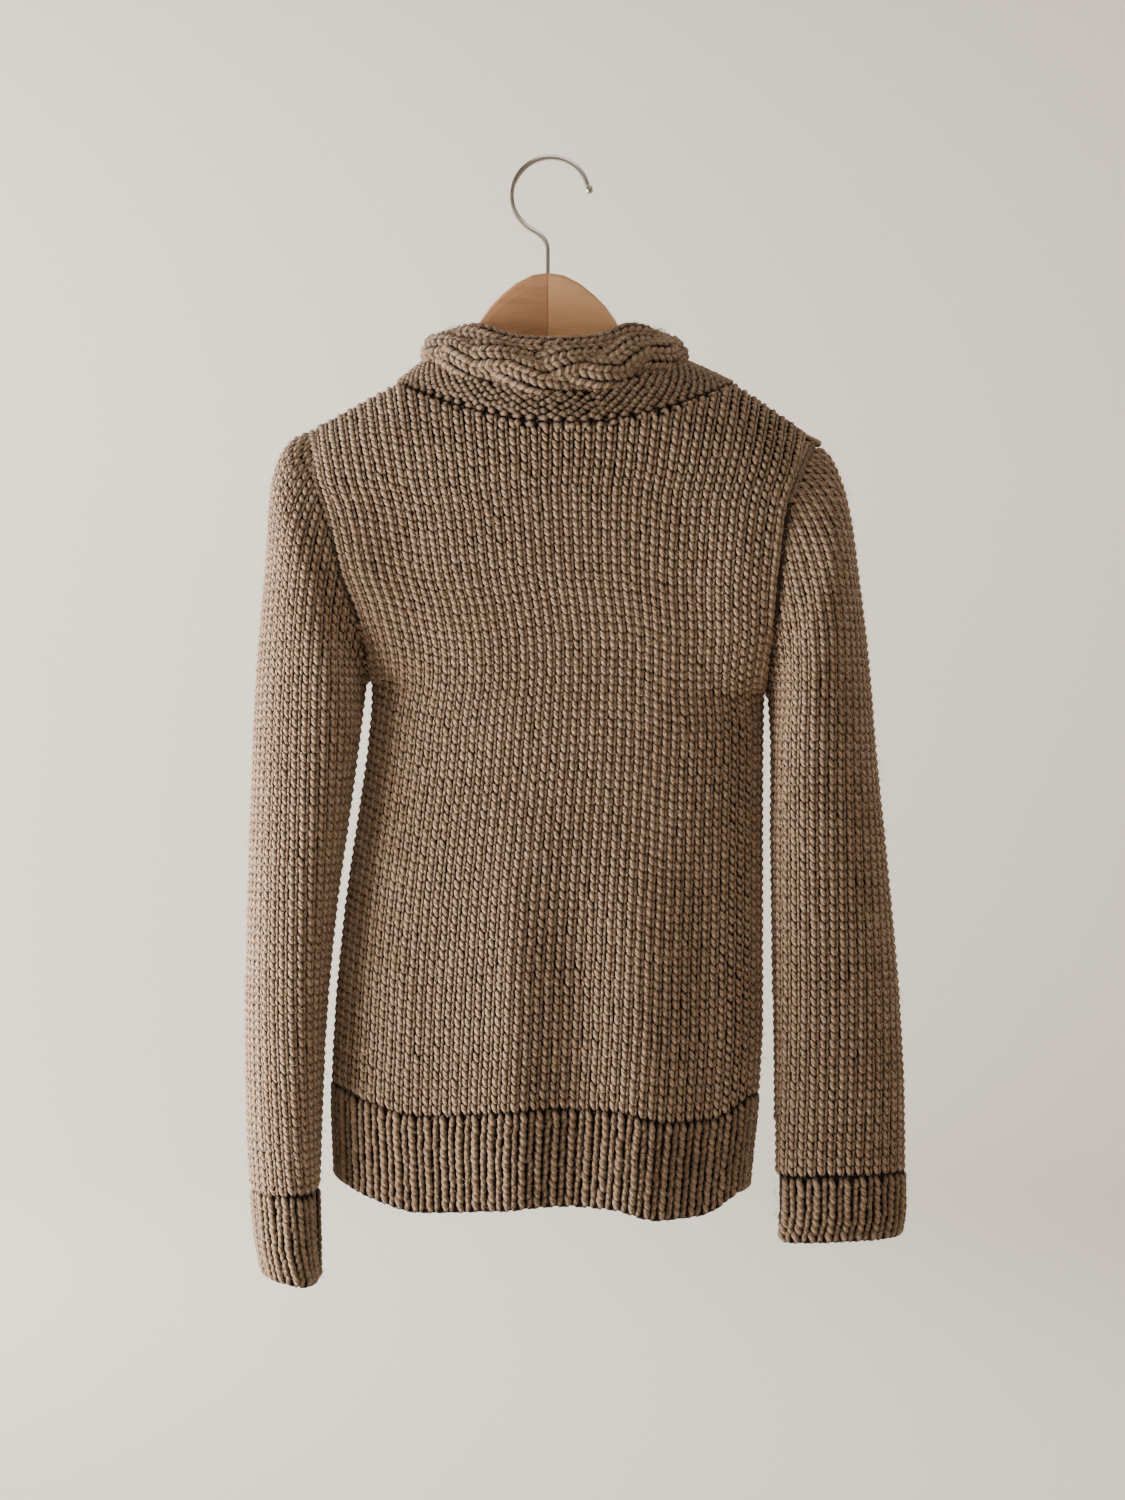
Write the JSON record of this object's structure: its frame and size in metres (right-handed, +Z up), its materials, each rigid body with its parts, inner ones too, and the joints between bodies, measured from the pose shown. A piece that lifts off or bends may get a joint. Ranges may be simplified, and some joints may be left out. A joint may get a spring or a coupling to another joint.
{
  "type": "knit pullover on a wooden hanger",
  "caption": "Chunky hand-knit wool pullover with a cable-braided collar, ribbed hem and cuffs, hanging on a wooden hanger whose wire hook swivels; both sleeves swing outwards.",
  "frame": {"origin": "where the hook hangs: the inside top of its loop, straight above the stem", "axes": "+Z up, -Y out of the garment's back (the side that is seen), +X to the right of someone facing the back"},
  "size_m": [0.495, 0.1132, 0.8391],
  "materials": {
    "wool_plain_knit": "matte plied bulky wool in plain knit, slight fuzz",
    "wool_rib_knit": "matte plied bulky wool in rib, slight fuzz",
    "wool_collar_knit": "matte plied bulky wool in cable and purl, fuzzy",
    "seam_yarn": "matte wool strand",
    "beech_left": "satin lacquer, fine straight grain",
    "beech_right": "satin lacquer, fine straight grain",
    "satin_steel": "satin nickel-plated wire"
  },
  "bodies": {
    "hook": {"hook_wire": "satin_steel", "hook_tip_ball": "satin_steel", "hook_washer": "satin_steel", "hook_nut": "satin_steel"},
    "garment": {"hanger_arm_left": "beech_left", "hanger_arm_right": "beech_right", "back_panel": "wool_plain_knit", "front_panel": "wool_plain_knit", "back_hem_rib": "wool_rib_knit", "front_hem_rib": "wool_rib_knit", "collar_base_band": "wool_collar_knit", "collar_cable_band": "wool_collar_knit", "collar_top_edge": "wool_collar_knit", "shoulder_seam_left": "seam_yarn", "shoulder_seam_right": "seam_yarn", "armhole_seam_left": "seam_yarn", "armhole_seam_right": "seam_yarn", "side_seam_left": "seam_yarn", "side_seam_right": "seam_yarn", "neck_seam": "seam_yarn"},
    "sleeve_left": {"left_sleeve": "wool_plain_knit", "left_cuff_rib": "wool_rib_knit", "sleeve_seam_left": "seam_yarn"},
    "sleeve_right": {"right_sleeve": "wool_plain_knit", "right_cuff_rib": "wool_rib_knit", "sleeve_seam_right": "seam_yarn"}
  },
  "joints": [
    {"name": "hook_swivel", "type": "hinge", "parent": "hook", "child": "garment", "pos_m": [0, 0, -0.085], "axis": [0, 0, 1], "continuous": true},
    {"name": "left_sleeve_swing", "type": "hinge", "parent": "garment", "child": "sleeve_left", "pos_m": [-0.172, 0, -0.199], "axis": [0, 1, 0], "range_deg": [0, 40]},
    {"name": "right_sleeve_swing", "type": "hinge", "parent": "garment", "child": "sleeve_right", "pos_m": [0.2, 0, -0.208], "axis": [0, -1, 0], "range_deg": [0, 40]}
  ]
}
